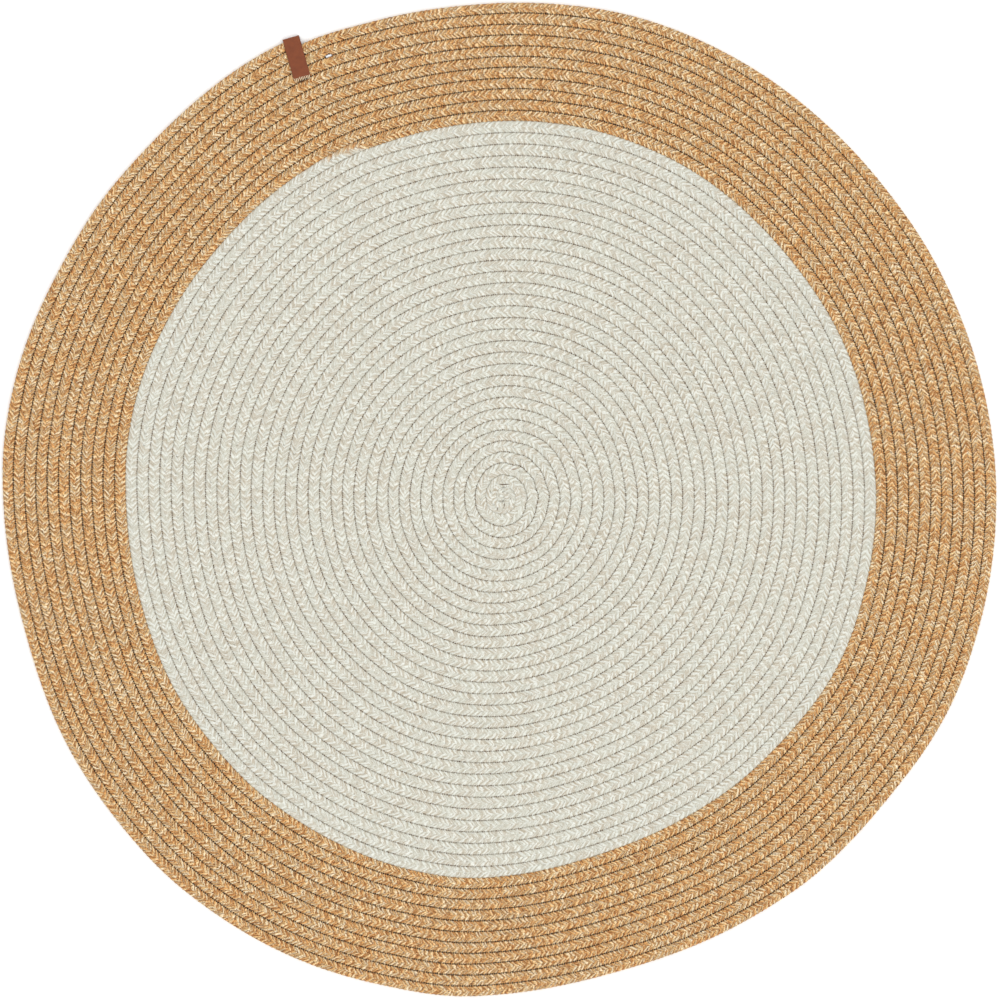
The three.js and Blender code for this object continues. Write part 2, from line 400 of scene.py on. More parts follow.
def ring_triangles(rows):
    """Triangles of a tube from rows of ring points, with the ring columns and rows of their corners."""
    corners = []
    row = np.arange(rows - 1)

    def quad(a, b):
        corners.append([(row, a), (row + 1, a), (row + 1, b)])
        corners.append([(row, a), (row + 1, b), (row, b)])

    for column in range(TOP_COLUMNS - 1):
        quad(column, column + 1)
    row = np.arange(0, rows - 1, 2)
    outer, foot, inner, closing = TOP_COLUMNS - 1, TOP_COLUMNS, RING_COLUMNS - 1, RING_COLUMNS
    corners.append([(row, outer), (row + 1, outer), (row, foot)])
    corners.append([(row + 1, outer), (row + 2, foot), (row, foot)])
    corners.append([(row + 1, outer), (row + 2, outer), (row + 2, foot)])
    for column in (foot, foot + 1):
        corners.append([(row, column), (row + 2, column), (row + 2, column + 1)])
        corners.append([(row, column), (row + 2, column + 1), (row, column + 1)])
    corners.append([(row, inner), (row + 2, inner), (row + 1, closing)])
    corners.append([(row, inner), (row + 1, closing), (row, closing)])
    corners.append([(row + 2, inner), (row + 2, closing), (row + 1, closing)])
    rows_of = [np.stack([rows for rows, _ in corner], axis=1) for corner in corners]
    columns_of = [np.stack([0 * rows + column for rows, column in corner], axis=1) for corner in corners]
    return np.concatenate(rows_of), np.concatenate(columns_of)


def seam_shade_weight(turns):
    """How dark a seam's painted shade is: full inside the coil, faint where the braids change, none at the
    rim.
    """
    weight = np.clip((turns - CORE_GROOVE_START) / CORE_GROOVE_TURNS, 0.0, 1.0)
    weight[(turns > JOINT_TURN) & (turns < JOINT_TURN + 1)] = JOINT_SEAM
    weight[turns > TAIL_TURN] = 0.0
    return weight


def splice_share(length, share):
    """How far into the splice a point lies: 0 well before it, 1 well past it."""
    cut = length_at(JOINT_TURN) + SPLICE_MIDDLE - SPLICE_SLANT * share
    return np.clip((length - cut) / SPLICE_SPREAD + 0.5, 0, 1)


BAKE_STRIPS = 24
BAKE_MARGIN = 0.002


def bake_corners(rows_of, columns_of, rows):
    """Where each corner lies in a flat sheet of strips, a UV map laid out for the pattern to be printed on.
    """
    strip_rows = 2 * math.ceil(rows / BAKE_STRIPS / 2)
    strip = rows_of.min(axis=1, keepdims=True) // strip_rows
    along = (rows_of - strip * strip_rows) / strip_rows
    across = RING_PLACES[columns_of]
    x = BAKE_MARGIN + along * (1 - 2 * BAKE_MARGIN)
    y = strip / BAKE_STRIPS + BAKE_MARGIN + across * (1 / BAKE_STRIPS - 2 * BAKE_MARGIN)
    return np.stack([x, y], axis=-1)


def press_under_tab(ring):
    """Flattens rings of braid points where the tab's two halves lie on them."""
    pressed = under_tab(ring, TAB_MARGIN)
    top = ring[:, :TOP_COLUMNS, 2]
    top[pressed[:, :TOP_COLUMNS]] = np.minimum(top, TAB_PRESS)[pressed[:, :TOP_COLUMNS]]
    foot = ring[:, TOP_COLUMNS:, 2]
    foot[pressed[:, TOP_COLUMNS:]] = TAB_SEAT


def add_seam_shades(mesh, braid, row, share, past_splice):
    """Tells the material where the seams lie and how strong their painted shade is, and where their stitches
    and the splice lie.
    """
    length = braid.row_length(row[:, None] + 0 * share, share)
    turns = turns_at(length)
    seam_turns = np.where(share > 0, turns + 1, turns)
    at_seam = np.where(np.abs(share) >= 1, seam_shade_weight(seam_turns), 0.0)
    splice = splice_share(length, np.clip(share, -1, 1))
    add_shade(mesh, "Seam", at_seam)
    add_shade(mesh, "Stitch", np.interp(seam_turns, TURNS, LENGTHS))
    add_shade(mesh, "Splice", 1 - splice if past_splice else splice)


def braid_piece(name, braid, first, last, material, past_splice):
    """One stretch of a braid, as a closed tube between two rows."""
    row = np.arange(first, last + 1)
    rows = len(row)
    ring = np.concatenate([braid.top_points(row), braid.foot_points(row)], axis=1)
    press_under_tab(ring)
    rows_of, columns_of = ring_triangles(rows)
    walls = rows_of * RING_COLUMNS + columns_of % RING_COLUMNS
    caps = end_caps(rows, RING_COLUMNS)
    triangles = np.concatenate([walls, caps])
    made = make_object(name, ring.reshape(-1, 3), triangles, material)

    share = np.broadcast_to(RING_SHARES, (rows, RING_COLUMNS))
    along = np.broadcast_to((row / ROWS_PER_PITCH)[:, None], share.shape)
    flat_uv = np.stack([share, along], axis=-1).reshape(-1, 2)
    pattern = add_uv(made.data, "Braid", flat_uv[triangles])
    cap_uv = np.full((len(caps), 3, 2), BAKE_MARGIN)
    add_uv(made.data, "OFBake", np.concatenate([bake_corners(rows_of, columns_of, rows), cap_uv]))
    pattern.active_render = True
    made.data.uv_layers.active = pattern
    add_seam_shades(made.data, braid, row, share, past_splice)
    mark_sharp(made.data, len(walls))

    return made


# Material nodes. The mix node takes and gives colours at these sockets.

MIX_FIRST, MIX_SECOND, MIX_RESULT = 6, 7, 2

# Where a painted mark starts to fade and where it is gone, as shares of its size
MARK_EDGE = (0.6, 1.2)
SPECULAR = 0.25


class Nodes:
    """Short calls that build one material's nodes."""

    def __init__(self, name):
        self.material = bpy.data.materials.new(name)
        self.material.use_nodes = True
        self.tree = self.material.node_tree
        self.tree.nodes.clear()

    def add(self, kind, **settings):
        node = self.tree.nodes.new(kind)
        for key, value in settings.items():
            setattr(node, key, value)
        return node

    def feed(self, socket, value):
        if isinstance(value, bpy.types.NodeSocket):
            self.tree.links.new(value, socket)
        else:
            socket.default_value = value

    def math(self, operation, *values):
        node = self.add("ShaderNodeMath", operation=operation)
        for socket, value in zip(node.inputs, values):
            self.feed(socket, value)
        return node.outputs[0]

    def ease(self, value, low, high, to_low=0.0, to_high=1.0):
        """Carries a range of values smoothly into another."""
        node = self.add("ShaderNodeMapRange", interpolation_type="SMOOTHSTEP")
        for socket, given in zip(node.inputs, (value, low, high, to_low, to_high)):
            self.feed(socket, given)
        return node.outputs[0]

    def vector(self, x, y, z):
        node = self.add("ShaderNodeCombineXYZ")
        for socket, value in zip(node.inputs, (x, y, z)):
            self.feed(socket, value)
        return node.outputs[0]

    def split(self, vector):
        node = self.add("ShaderNodeSeparateXYZ")
        self.feed(node.inputs[0], vector)
        return node.outputs

    def chances(self, x, y):
        """Three random numbers from 0 to 1 for each whole-numbered place."""
        node = self.add("ShaderNodeTexWhiteNoise", noise_dimensions="3D")
        self.feed(node.inputs["Vector"], self.vector(x, y, 0.0))
        return self.split(node.outputs["Color"])

    def stretch(self, across, across_rate, along, along_rate, depth):
        """A place for a noise to be read at, from two places on the braid with a rate for each."""
        x = self.math("MULTIPLY", across, across_rate)
        y = self.math("MULTIPLY", along, along_rate)
        return self.vector(x, y, depth)

    def field(self, across, along, side, across_rate, along_rate, shift, detail, roughness):
        """Three smooth random numbers over the braid, unlike on its two sides."""
        depth = self.math("MULTIPLY_ADD", side, SIDE_STEP, shift)
        node = self.add("ShaderNodeTexNoise", noise_dimensions="3D")
        self.feed(node.inputs["Vector"], self.stretch(across, across_rate, along, along_rate, depth))
        for name, value in (("Scale", 1.0), ("Detail", detail), ("Roughness", roughness)):
            self.feed(node.inputs[name], value)
        return self.split(node.outputs["Color"])

    def scale(self, colour, factor):
        node = self.add("ShaderNodeVectorMath", operation="SCALE")
        self.feed(node.inputs[0], colour)
        self.feed(node.inputs["Scale"], factor)
        return node.outputs[0]

    def mark(self, colour, spot, x, y, half_length, half_width, turn, strength, paint):
        """Paints a soft oval, placed in millimetres from the middle of the coil, over a colour."""
        node = self.add("ShaderNodeMapping", vector_type="TEXTURE")
        self.feed(node.inputs["Vector"], spot)
        node.inputs["Location"].default_value = (COIL_MIDDLE[0] + x * MM, COIL_MIDDLE[1] + y * MM, 0.0)
        node.inputs["Rotation"].default_value = (0.0, 0.0, math.radians(turn))
        node.inputs["Scale"].default_value = (half_length * MM, half_width * MM, 1.0)
        length = self.add("ShaderNodeVectorMath", operation="LENGTH")
        self.feed(length.inputs[0], node.outputs[0])
        share = self.ease(length.outputs["Value"], *MARK_EDGE, strength, 0.0)
        return self.mix(share, colour, linear(paint))

    def noise(self, vector, scale, detail=2.0, roughness=0.5):
        node = self.add("ShaderNodeTexNoise", noise_dimensions="3D")
        self.feed(node.inputs["Vector"], vector)
        self.feed(node.inputs["Scale"], scale)
        self.feed(node.inputs["Detail"], detail)
        self.feed(node.inputs["Roughness"], roughness)
        return node.outputs[0]

    def ramp(self, value, stops):
        """A colour for a value, from stops of (place, sRGB colour)."""
        node = self.add("ShaderNodeValToRGB")
        elements = node.color_ramp.elements
        while len(elements) < len(stops):
            elements.new(0.5)
        for element, (place, colour) in zip(elements, stops):
            element.position = place
            element.color = linear(colour)
        self.feed(node.inputs[0], value)
        return node.outputs[0]

    def mix(self, share, first, second):
        node = self.add("ShaderNodeMix", data_type="RGBA")
        self.feed(node.inputs[0], share)
        self.feed(node.inputs[MIX_FIRST], first)
        self.feed(node.inputs[MIX_SECOND], second)
        return node.outputs[MIX_RESULT]

    def shade(self, name):
        return self.add("ShaderNodeAttribute", attribute_name=name).outputs["Fac"]

    def bump(self, height, strength, distance):
        node = self.add("ShaderNodeBump")
        self.feed(node.inputs["Strength"], strength)
        self.feed(node.inputs["Distance"], distance)
        self.feed(node.inputs["Height"], height)
        return node.outputs[0]

    def finish(self, colour, roughness, normal, sheen=0.0):
        """Connects what was built to a shader and gives back the material."""
        shader = self.add("ShaderNodeBsdfPrincipled")
        self.feed(shader.inputs["Base Color"], colour)
        self.feed(shader.inputs["Roughness"], roughness)
        self.feed(shader.inputs["Normal"], normal)
        shader.inputs["Sheen Weight"].default_value = sheen
        shader.inputs["Specular IOR Level"].default_value = SPECULAR
        output = self.add("ShaderNodeOutputMaterial")
        self.tree.links.new(shader.outputs[0], output.inputs[0])
        return self.material


def linear(colour):
    """An sRGB colour of 0 to 255 as the linear colour with alpha that nodes take."""
    parts = [c / 255 for c in colour]
    parts = [c / 12.92 if c <= 0.04045 else ((c + 0.055) / 1.055) ** 2.4 for c in parts]
    return (*parts, 1.0)


# Looks of the two braids. Warm and pale are the plies' colours across one strand. Gap and seam are colours
# of
# painted shade: gap in the gaps between strands and the pits where they cross, seam in the grooves between
# turns.
# The depths say how much of the painted shade in the gaps, pits and seams shows, flecks and tone how much
# the brightness varies round the light.
TAN_LOOK = {
    "warm": [(0, (150, 94, 50)), (0.12, (206, 147, 88)), (0.28, (236, 208, 160)), (0.45, (232, 201, 149)),
             (0.6, (219, 168, 107)), (0.85, (210, 155, 94)), (1, (150, 94, 50))],
    "pale": [(0, (160, 114, 70)), (0.12, (210, 169, 116)), (0.28, (240, 223, 190)), (0.45, (235, 216, 179)),
             (0.6, (218, 182, 129)), (0.85, (210, 169, 114)), (1, (160, 114, 70))],
    "gap": (98, 55, 26),
    "seam": (26, 13, 5),
    "gap_depth": 1.0,
    "pits": 1.0,
    "pit_level": 0.568,
    "flecks": 0.62,
    "tone": 0.1,
    "light": 0.878,
    "seam_depth": 0.5,
    "dot_depth": 1.2,
    "dot_spread": -0.75,
}
CREAM_LOOK = {
    "warm": [(0, (196, 186, 166)), (0.15, (222, 217, 202)), (0.3, (240, 241, 232)), (0.5, (238, 239, 229)),
             (0.65, (222, 219, 205)), (0.88, (212, 206, 190)), (1, (196, 186, 166))],
    "pale": [(0, (206, 204, 188)), (0.15, (224, 223, 210)), (0.3, (236, 238, 228)), (0.5, (236, 238, 228)),
             (0.65, (224, 224, 212)), (0.88, (216, 215, 201)), (1, (206, 204, 188))],
    "gap": (156, 142, 118),
    "seam": (96, 68, 48),
    "gap_depth": 0.8,
    "pits": 0.55,
    "pit_level": 0.59,
    "flecks": 0.2,
    "tone": 0.05,
    "light": 0.785,
    "seam_depth": 0.3,
    "dot_depth": 0.3,
    "dot_spread": -0.5,
}

# Small marks painted on the braids, placed from the middle of the coil: flat places and two painted shadows
CORE_MARKS = [  # x, y, half length, half width, turn, strength, colour
    # Painted shadow in the gap where the braid's start is tucked in at the core
    (1.3, 15.8, 6.8, 0.8, 2, 0.9, (82, 64, 48)),
    (1.3, -9.0, 2.6, 0.8, 88, 0.8, (96, 78, 60)),
    (-6.9, -13.9, 2.2, 0.9, 75, 0.7, (96, 78, 60)),
    (13.0, 34.3, 3.8, 0.8, 12, 0.7, (120, 78, 56)),
]
TAN_MARKS = [
    (-211.5, 525.6, 7.2, 2.6, 4, 0.6, (205, 164, 108)),
    (-256.5, 503.5, 4.8, 3.6, 20, 0.5, (198, 158, 102)),
    (-232.8, 528.4, 5.5, 4.0, 60, 0.5, (172, 154, 114)),
    # Painted shadow under the tab's end and between its stitches
    (-241.3, 502.6, 9.5, 2.3, 16, 0.7, (92, 54, 30)),
]

# Numbers of the braids' materials. Two in brackets are a low and a high level; four also say what
# the levels become.

# Strands that wander a little. The two sides of the braid read the noises at different depths.
SIDE_STEP, SIDE_START = 9.0, 3.0
WANDER = 0.35
DRIFT_ACROSS, DRIFT_ALONG = 1.6, 0.8

# Plies twisted along each strand
PLY_FIELD = {"across_rate": 2.4, "along_rate": 4.5, "shift": 7.0, "detail": 2.0, "roughness": 0.7}
SPECK_FIELD = {"across_rate": 5.5, "along_rate": 5.0, "shift": 61.0, "detail": 1.0, "roughness": 0.6}
TWIST = 1.2
TWIST_MIDDLE = 0.35
STAGGER = 0.8
STREAKS = 0.9
PATCH_ACROSS, PATCH_ALONG = 0.8, 0.33
PATCH_LEANING = 0.3
PATCH_LEVELS = (0.52, 0.78)
FLECK_SHARE, LIGHT_SHARE = 2.0, 0.8

# Splice: how the strands and the fine noise share in where it frays
SPLICE_STRANDS, SPLICE_FRAY = 0.4, 0.6
SPLICE_SOFTNESS = 0.3

# Painted shade in the gaps between strands, and in pits where they cross
GAP_WIDTH = 0.22
GAP_WIDTHS = (0.25, 0.75, 0.5, 1.6)
GAP_LEVELS = (0.34, 0.62)
PIT_EDGE = 0.07

# Painted shade along the seam's groove between turns, dotted with its stitches. The painted shade starts and
# is full at these levels, and a stitch lowers the first by the look's dot spread and the second by a part of
# it.
SEAM_STITCH = 2.77 * MM
STITCH_JITTER = 0.7
STITCH_LEVELS = (0.12, 0.38)
SEAM_START, SEAM_FULL = 0.8, 0.9
FULL_PART = 3
RUN_SCALE, DOT_SCALE = 140.0, 400.0
RUN_DEPTHS = (0.35, 0.6, 0.55, 1.2)
DOT_DEPTHS = (0.38, 0.56, 0.6, 1.3)

# Surface of the yarn
FIBRE_SCALE = 900.0
STRAND_EDGE = 0.25
STRAND_BUMP = 0.8
YARN_BUMP = (0.4, 0.3 * MM)
YARN_ROUGHNESS = (0.2, 0.8, 0.82, 0.98)
YARN_SHEEN = 0.05


class Strands:
    """Where a point lies on the strands of a braid, with random numbers for its strand and its place."""

    def __init__(self, n):
        across, along, _ = n.split(n.add("ShaderNodeUVMap", uv_map="Braid").outputs[0])
        side = n.math("GREATER_THAN", across, 0.0)
        self.out = n.math("ABSOLUTE", across)
        sided = n.math("MULTIPLY_ADD", side, SIDE_STEP, SIDE_START)
        wander = n.noise(n.stretch(self.out, DRIFT_ACROSS, along, DRIFT_ALONG, sided), 1.0, detail=0.0)
        place = n.math("MULTIPLY_ADD", side, 0.5, along)
        place = n.math("MULTIPLY_ADD", n.math("SUBTRACT", wander, 0.5), 2 * WANDER, place)
        self.phase = n.math("FRACT", place)
        self.edge = n.math("PINGPONG", self.phase, 0.5)
        self.tilt, self.stagger, self.leaning = n.chances(n.math("FLOOR", place), side)
        self.streaks, self.lights, self.depths = n.field(self.out, place, side, **PLY_FIELD)
        self.widths, self.flecks, self.pits = n.field(self.out, place, side, **SPECK_FIELD)
        self.patches = n.noise(n.stretch(self.out, PATCH_ACROSS, along, PATCH_ALONG, sided), 1.0, detail=0.0)


def ply_colour(n, strands, look, other_look):
    """The colour of the twisted plies, which turns into the other braid's at the splice."""
    twist = n.math("MULTIPLY", n.math("SUBTRACT", strands.tilt, TWIST_MIDDLE), TWIST)
    ply = n.math("MULTIPLY", twist, strands.out)
    ply = n.math("ADD", ply, n.math("MULTIPLY_ADD", strands.stagger, STAGGER, strands.phase))
    ply = n.math("FRACT", n.math("MULTIPLY_ADD", n.math("SUBTRACT", strands.streaks, 0.5), STREAKS, ply))
    pale = n.ease(n.math("MULTIPLY_ADD", strands.leaning, PATCH_LEANING, strands.patches), *PATCH_LEVELS)
    own = n.mix(pale, n.ramp(ply, look["warm"]), n.ramp(ply, look["pale"]))
    other = n.mix(pale, n.ramp(ply, other_look["warm"]), n.ramp(ply, other_look["pale"]))
    fray = n.math("MULTIPLY", strands.lights, SPLICE_FRAY)
    fray = n.math("MULTIPLY_ADD", strands.stagger, SPLICE_STRANDS, fray)
    past = n.math("SUBTRACT", n.shade("Splice"), fray)
    return n.mix(n.ease(past, -SPLICE_SOFTNESS, SPLICE_SOFTNESS), own, other)


def brightness(n, strands, look):
    """How bright the yarn is at each place."""
    bright = look["light"]
    shares = [(strands.flecks, FLECK_SHARE * look["flecks"]), (strands.lights, LIGHT_SHARE * look["flecks"]),
              (strands.tilt, look["tone"])]
    for noise, share in shares:
        bright = n.math("MULTIPLY_ADD", n.math("SUBTRACT", noise, 0.5), share, bright)
    return bright


def gap_shade_share(n, strands, look):
    """How much painted shade shows in the gaps between strands and in the pits where they cross."""
    width = n.math("MULTIPLY", n.ease(strands.widths, *GAP_WIDTHS), GAP_WIDTH)
    gap = n.ease(strands.edge, 0.0, width, 1.0, 0.0)
    gap = n.math("MULTIPLY", gap, n.ease(strands.depths, *GAP_LEVELS, 0.0, look["gap_depth"]))
    pit = n.ease(strands.pits, look["pit_level"], look["pit_level"] + PIT_EDGE, 0.0, look["pits"])
    return n.math("MAXIMUM", gap, pit)


def seam_shade_share(n, spot, look):
    """How much painted shade shows along the seams' grooves: a thin line that is wider and darker at each
    stitch.
    """
    runs = n.noise(spot, RUN_SCALE, detail=0.0)
    dots = n.noise(spot, DOT_SCALE, detail=0.0)
    jitter = n.math("MULTIPLY", dots, STITCH_JITTER)
    stitch = n.math("MULTIPLY_ADD", n.shade("Stitch"), 1 / SEAM_STITCH, jitter)
    dot = n.ease(n.math("PINGPONG", stitch, 0.5), *STITCH_LEVELS, 1.0, 0.0)
    start = n.math("MULTIPLY_ADD", dot, look["dot_spread"], SEAM_START)
    full = n.math("MULTIPLY_ADD", dot, look["dot_spread"] / FULL_PART, SEAM_FULL)
    line = n.ease(n.shade("Seam"), start, full)
    depth = n.math("MULTIPLY_ADD", dot, look["dot_depth"], look["seam_depth"])
    depth = n.math("MULTIPLY", depth, n.ease(runs, *RUN_DEPTHS))
    depth = n.math("MINIMUM", n.math("MULTIPLY", depth, n.ease(dots, *DOT_DEPTHS)), 1.0)
    return n.math("MULTIPLY", line, depth)


def braid_material(name, look, other_look, marks):
    """Heathered yarn braided in twisted strands, with a sewn seam between turns, and painted shade in its
    gaps, pits and seams.
    """
    n = Nodes(name)
    spot = n.add("ShaderNodeTexCoord").outputs["Object"]
    strands = Strands(n)
    colour = n.scale(ply_colour(n, strands, look, other_look), brightness(n, strands, look))
    # Painted shade in the gaps between strands and in the pits where they cross
    colour = n.mix(gap_shade_share(n, strands, look), colour, linear(look["gap"]))
    # Painted marks, among them painted shadows at the core and under the tab's end
    for mark in marks:
        colour = n.mark(colour, spot, *mark)
    # Painted shade along the seams between turns
    colour = n.mix(seam_shade_share(n, spot, look), colour, linear(look["seam"]))

    fibres = n.noise(spot, FIBRE_SCALE, detail=1.0)
    height = n.math("MULTIPLY_ADD", n.ease(strands.edge, 0.0, STRAND_EDGE), STRAND_BUMP, fibres)
    roughness = n.ease(strands.streaks, *YARN_ROUGHNESS)
    return n.finish(colour, roughness, n.bump(height, *YARN_BUMP), sheen=YARN_SHEEN)


# Leather
CLOUD_SCALE, PORE_SCALE = 160.0, 1500.0
LEATHER_COLOURS = [(0.25, (110, 55, 29)), (0.5, (118, 61, 34)), (0.75, (126, 67, 39))]
CUT_COLOUR = (58, 28, 18)
CUT_LEVELS = (0.3, 1.0, 0.0, 0.75)
PORE_EDGE = 0.25
CLOUD_BUMP = 0.6
LEATHER_BUMP = (0.35, 0.12 * MM)
LEATHER_ROUGHNESS = (0.3, 0.7, 0.48, 0.66)


def leather_material():
    """Smooth brown leather with fine pores, darker along its cut edges."""
    n = Nodes("tab_leather")
    place = n.add("ShaderNodeTexCoord").outputs["Object"]
    clouds = n.noise(place, CLOUD_SCALE, detail=4.0, roughness=0.6)
    grain = n.add("ShaderNodeTexVoronoi", feature="DISTANCE_TO_EDGE")
    n.feed(grain.inputs["Vector"], place)
    n.feed(grain.inputs["Scale"], PORE_SCALE)
    pores = n.ease(grain.outputs["Distance"], 0.0, PORE_EDGE)
    colour = n.ramp(clouds, LEATHER_COLOURS)
    colour = n.mix(n.ease(n.shade("Cut"), *CUT_LEVELS), colour, linear(CUT_COLOUR))
    height = n.math("MULTIPLY_ADD", clouds, CLOUD_BUMP, pores)
    return n.finish(colour, n.ease(clouds, *LEATHER_ROUGHNESS), n.bump(height, *LEATHER_BUMP))


# Thread
HEATHER_SCALE, TWIST_SCALE = 900.0, 2400.0
THREAD_BUMP = (0.6, 0.1 * MM)
THREAD_ROUGHNESS = (0.2, 0.8, 0.8, 0.95)


def thread_material(name, dark, light):
    """Twisted thread with a fine heather."""
    n = Nodes(name)
    place = n.add("ShaderNodeTexCoord").outputs["Object"]
    heather = n.noise(place, HEATHER_SCALE, detail=3.0, roughness=0.7)
    colour = n.ramp(heather, [(0.3, dark), (0.7, light)])
    twist = n.noise(place, TWIST_SCALE)
    return n.finish(colour, n.ease(twist, *THREAD_ROUGHNESS), n.bump(twist, *THREAD_BUMP))


# Floor
MOTTLE_SCALE = 3.0
FLOOR_COLOURS = [(0.2, (250, 250, 250)), (0.8, (252, 252, 252))]
FLOOR_BUMP = (0.01, 0.1 * MM)
FLOOR_ROUGHNESS = (0.2, 0.8, 0.85, 0.9)


def floor_material():
    """Matt white card with a faint mottle."""
    n = Nodes("floor_card")
    place = n.add("ShaderNodeTexCoord").outputs["Object"]
    mottle = n.noise(place, MOTTLE_SCALE)
    colour = n.ramp(mottle, FLOOR_COLOURS)
    return n.finish(colour, n.ease(mottle, *FLOOR_ROUGHNESS), n.bump(mottle, *FLOOR_BUMP))


# Both braids wound

def make_braids():
    """The cream braid from the core to the joint, the tan one on to the tail, and the plug in the core."""
    joint = length_at(JOINT_TURN) - SLANT * TAN_WIDTH / 4
    tail = length_at(TAIL_TURN) - SLANT * TAN_WIDTH / 4
    cream = braid_material("cream_braid", CREAM_LOOK, TAN_LOOK, CORE_MARKS)
    tan = braid_material("tan_braid", TAN_LOOK, CREAM_LOOK, TAN_MARKS)
    wound = [
        (Braid(0.0, joint, CREAM_PITCH, CREAM_WIDTH, seed=11), cream, "centre_coil", "cream_braid", False),
        (Braid(joint, tail, TAN_PITCH, TAN_WIDTH, seed=13), tan, "border_coil", "tan_braid", True),
    ]
    for braid, material, node, slot, past_splice in wound:
        rows = braid.pitches * ROWS_PER_PITCH
        cuts = [ROWS_PER_PITCH * round(rows * k / PIECES_PER_BRAID / ROWS_PER_PITCH)
                for k in range(PIECES_PER_BRAID + 1)]
        for number, (first, last) in enumerate(zip(cuts, cuts[1:]), start=1):
            piece = braid_piece(f"{slot}_{number}", braid, first, last, material, past_splice)
            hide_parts(node)
    make_core_plug(cream)


# Tab

SECTION_CORNER = 0.4 * MM
SECTION_ARC_STEPS = 3
SECTION_FACE_STEPS = 10
FOLD_ARC_STEPS = 8
RUN_STEPS = 40
TAB_SAG = 0.22 * MM
TAB_END_PRESS = 0.35 * MM
TAB_END_RUN = 7 * MM
TAB_FADE_RUN = 4 * MM
TAB_SAG_START = 3.5 * MM
TAB_END_TUCK = 0.55
TAB_END_NARROWING = 0.03
TAB_CUT_WIDTH = 0.7 * MM
TAB_END_CUT = 0.5


def tab_section():
    """The leather's outline across the tab: a flat bar with rounded corners. Sideways and upwards."""
    half_side, half_up = TAB_WIDTH / 2 - SECTION_CORNER, LEATHER / 2 - SECTION_CORNER
    outline = []
    for corner, (side, up) in enumerate([(1, 1), (-1, 1), (-1, -1), (1, -1)]):
        start = corner * math.pi / 2
        for step in range(SECTION_ARC_STEPS + 1):
            angle = start + step / SECTION_ARC_STEPS * math.pi / 2
            outline.append((side * half_side + SECTION_CORNER * math.cos(angle),
                            up * half_up + SECTION_CORNER * math.sin(angle)))
        if corner in (0, 2):
            for step in range(1, SECTION_FACE_STEPS):
                outline.append((side * half_side * (1 - 2 * step / SECTION_FACE_STEPS),
                                up * (half_up + SECTION_CORNER)))
    return np.array(outline)


def tab_path():
    """The middle of the leather's thickness, from the lower end round the fold to the upper end."""
    middle = LEATHER / 2
    bend = FOLD_RADIUS - middle
    low = [(-TAB_LENGTH + (TAB_LENGTH - FOLD_RADIUS) * k / RUN_STEPS, middle) for k in range(RUN_STEPS)]
    arc = np.linspace(0, math.pi / 2, FOLD_ARC_STEPS + 1)
    under = [(-FOLD_RADIUS + bend * math.sin(a), FOLD_RADIUS - bend * math.cos(a)) for a in arc]
    high = TAB_TOP - FOLD_RADIUS
    over = [(-FOLD_RADIUS + bend * math.cos(a), high + bend * math.sin(a)) for a in arc]
    top = [(-FOLD_RADIUS - (TAB_LENGTH - FOLD_RADIUS) * k / RUN_STEPS, TAB_TOP - middle)
           for k in range(1, RUN_STEPS + 1)]
    return np.array(low + under + over + top)


def settle_top(path):
    """Lets the upper run sag between the ribs below it and presses its sewn end down."""
    out, up = path[:, 0].copy(), path[:, 1].copy()
    upper = up > TAB_TOP - LEATHER
    fade = np.clip((-out - FOLD_RADIUS) / TAB_FADE_RUN, 0, 1)
    sag = TAB_SAG * (0.5 - 0.5 * np.cos(2 * math.pi * (out + TAB_SAG_START) / TAN_WIDTH)) * fade
    press = TAB_END_PRESS * np.clip(1 - (out + TAB_LENGTH) / TAB_END_RUN, 0, 1) ** 2
    up[upper] -= (sag + press)[upper]
    return np.stack([out, up], axis=1)


def make_tab():
    """The leather tab, its cross-section carried along the fold."""
    section = tab_section()
    path = settle_top(tab_path())
    along = np.gradient(path, axis=0)
    along /= np.linalg.norm(along, axis=1, keepdims=True)
    normal = np.stack([-along[:, 1], along[:, 0]], axis=1)
    tuck = np.ones(len(path))
    tuck[[0, -1]] = TAB_END_TUCK
    side = section[:, 0] * (1 - (1 - tuck[:, None]) * TAB_END_NARROWING)
    up = section[:, 1] * tuck[:, None]
    out = path[:, :1] + normal[:, :1] * up
    height = path[:, 1:] + normal[:, 1:] * up
    points = from_tab(out, side, height)
    triangles = tube_triangles(*points.shape[:2])[:, ::-1]
    tab = make_object("tab_leather", points.reshape(-1, 3), triangles, leather_material())
    from_side = (TAB_WIDTH / 2 - np.abs(side)) / TAB_CUT_WIDTH
    cut = np.clip(1 - from_side, 0, 1)
    cut[[0, -1]] = TAB_END_CUT
    add_shade(tab.data, "Cut", cut)
    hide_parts("edge_tab")


# Threads

THREAD_SIDES = 6
THREAD_END = 0.4


def thread(points, radius):
    """Points and triangles of a thread along a line of points, thinner at its ends."""
    along = np.gradient(points, axis=0)
    along /= np.linalg.norm(along, axis=1, keepdims=True)
    across = np.cross(along, (0.0, 0.0, 1.0))
    across /= np.linalg.norm(across, axis=1, keepdims=True)
    upward = np.cross(across, along)
    angle = np.arange(THREAD_SIDES) / THREAD_SIDES * 2 * math.pi
    size = np.full(len(points), radius)
    size[[0, -1]] *= THREAD_END
    ring = np.cos(angle)[None, :, None] * across[:, None] + np.sin(angle)[None, :, None] * upward[:, None]
    made = points[:, None] + size[:, None, None] * ring
    return made.reshape(-1, 3), tube_triangles(len(points), THREAD_SIDES)


def join(parts):
    """Several sets of points and triangles as one."""
    points, triangles, count = [], [], 0
    for part_points, part_triangles in parts:
        points.append(part_points)
        triangles.append(part_triangles + count)
        count += len(part_points)
    return np.concatenate(points), np.concatenate(triangles)


